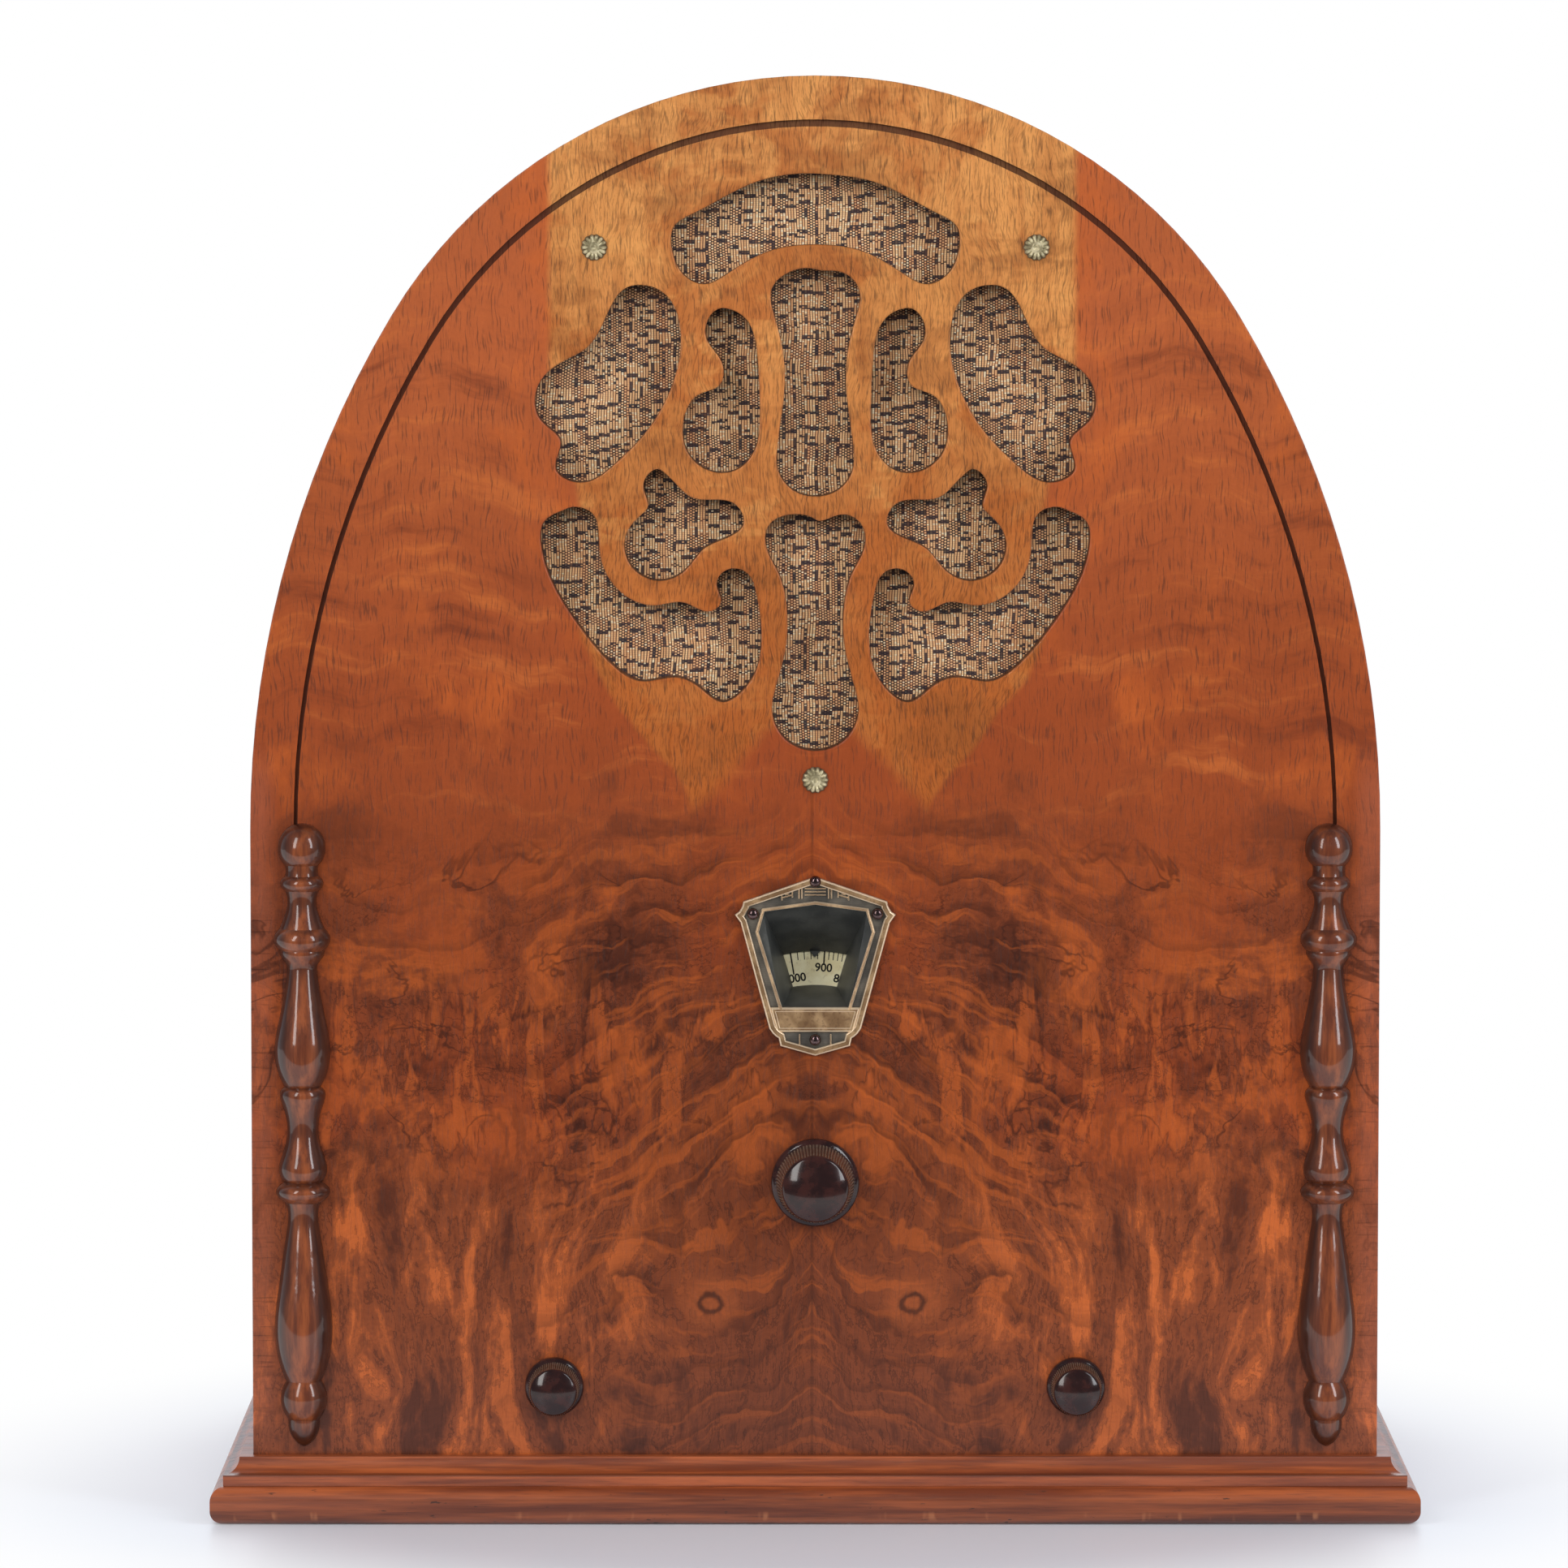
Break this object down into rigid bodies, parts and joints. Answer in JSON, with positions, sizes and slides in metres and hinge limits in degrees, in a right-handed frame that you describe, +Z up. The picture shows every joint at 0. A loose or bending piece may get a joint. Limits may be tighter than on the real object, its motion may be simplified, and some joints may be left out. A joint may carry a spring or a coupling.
{
  "type": "cathedral radio",
  "caption": "Table-top valve radio in an arched wooden cabinet with a fretted cloth grille, small dial window, turned split spindles and round knobs.",
  "frame": {"origin": "centre of the base board's underside", "axes": "+Z up, -Y out of the front with the grille and knobs, +X to the right of someone facing the front"},
  "size_m": [0.382, 0.2568, 0.456],
  "materials": {
    "base_wood": "satin lacquered walnut-stained hardwood",
    "front_veneer": "satin lacquered book-matched figured veneer",
    "side_veneer": "satin lacquered straight-grained veneer",
    "turned_wood": "glossy dark stained turned hardwood",
    "plain_wood": "bare plywood and softwood",
    "grille_fabric": "two-tone basket-woven grille cloth",
    "antique_brass": "antiqued, darkened in the recesses",
    "plain_brass": "dull turned",
    "dark_steel": "dark oxidised steel",
    "plated_steel": "dull cadmium plate",
    "chassis_steel": "dull grey plated sheet",
    "core_steel": "varnished laminations",
    "black_paint": "satin black enamel",
    "winding_paper": "varnished wrapping over wire",
    "cone_paper": "rough felted paper",
    "copper_wire": "enamelled wire",
    "soft_leather": "thin chamois",
    "phenolic_board": "brown laminate and mouldings",
    "dark_bakelite": "polished phenolic moulding",
    "drive_rubber": "ground rubber tyre",
    "soft_rubber": "aged black rubber",
    "dial_celluloid": "aged translucent celluloid with black print",
    "plate_aluminium": "plain sheet",
    "lamp_glass": "clear bulb in a plated cap",
    "tube_glass": "clear blown glass, silvered at the top",
    "shield_metal": "spun aluminium, dull",
    "cloth_lead": "waxed cloth braid"
  },
  "bodies": {
    "cabinet": {"base_board": "base_wood", "plinth_moulding": "base_wood", "front_panel": "front_veneer", "arch_shell": "side_veneer", "left_baluster": "turned_wood", "right_baluster": "turned_wood", "glue_blocks": "plain_wood", "grille_cloth": "grille_fabric", "speaker_board": "plain_wood", "escutcheon": "antique_brass", "escutcheon_pins": "dark_steel", "dial_funnel": "black_paint", "speaker_bolts": "antique_brass", "speaker_nuts": "dark_steel", "speaker_basket": "black_paint", "speaker_pot": "dark_steel", "pole_plate": "dark_steel", "field_coil": "winding_paper", "cone_surround": "soft_leather", "cone_spider": "phenolic_board", "spider_screw": "dark_steel", "output_core": "core_steel", "output_winding": "winding_paper", "tuning_bracket": "plated_steel", "tuning_bush": "plain_brass", "stator_plates": "plate_aluminium", "capacitor_frame": "plated_steel", "dial_lamp": "lamp_glass", "lamp_bracket": "plated_steel", "volume_control": "phenolic_board", "tone_switch": "phenolic_board", "chassis": "chassis_steel", "chassis_bolts": "dark_steel", "chassis_cushions": "soft_rubber", "cord_grommet": "soft_rubber", "terminal_strip": "phenolic_board", "tube_sockets": "phenolic_board", "tube_bases": "dark_bakelite", "tube_bulbs": "tube_glass", "tube_shields": "shield_metal", "grid_leads": "cloth_lead", "coil_cans": "shield_metal", "filter_cans": "shield_metal", "bypass_capacitors": "dark_bakelite", "transformer_core": "core_steel", "transformer_shells": "black_paint", "speaker_cable": "cloth_lead"},
    "dial": {"dial_disc": "dial_celluloid", "dial_drum": "plated_steel", "capacitor_shaft": "plated_steel", "rotor_plates": "plate_aluminium"},
    "tuning": {"tuning_knob": "dark_bakelite", "tuning_shaft": "plated_steel", "friction_wheel": "drive_rubber"},
    "volume": {"volume_knob": "dark_bakelite", "volume_shaft": "plated_steel"},
    "tone": {"tone_knob": "dark_bakelite", "tone_shaft": "plated_steel"},
    "cone": {"speaker_cone": "cone_paper", "voice_coil": "copper_wire"}
  },
  "joints": [
    {"name": "dial_turn", "type": "hinge", "parent": "cabinet", "child": "dial", "pos_m": [0, -0.086, 0.1305], "axis": [0, 1, 0], "range_deg": [-90, 90]},
    {"name": "tuning_turn", "type": "hinge", "parent": "cabinet", "child": "tuning", "pos_m": [0, -0.112, 0.1077], "axis": [0, 1, 0], "range_deg": [-340, 340]},
    {"name": "volume_turn", "type": "hinge", "parent": "cabinet", "child": "volume", "pos_m": [-0.0825, -0.112, 0.0427], "axis": [0, 1, 0], "range_deg": [-150, 150]},
    {"name": "tone_turn", "type": "hinge", "parent": "cabinet", "child": "tone", "pos_m": [0.0825, -0.112, 0.0427], "axis": [0, 1, 0], "range_deg": [-60, 60]},
    {"name": "cone_travel", "type": "slide", "parent": "cabinet", "child": "cone", "axis": [0, 1, 0], "range_m": [-0.0015, 0.0015], "stiffness_N_per_m": 1500, "deforming": ["cone_surround", "cone_spider"]}
  ],
  "couplings": [
    {"joint": "tuning_turn", "follows": "dial_turn", "ratio": -3.7083}
  ]
}
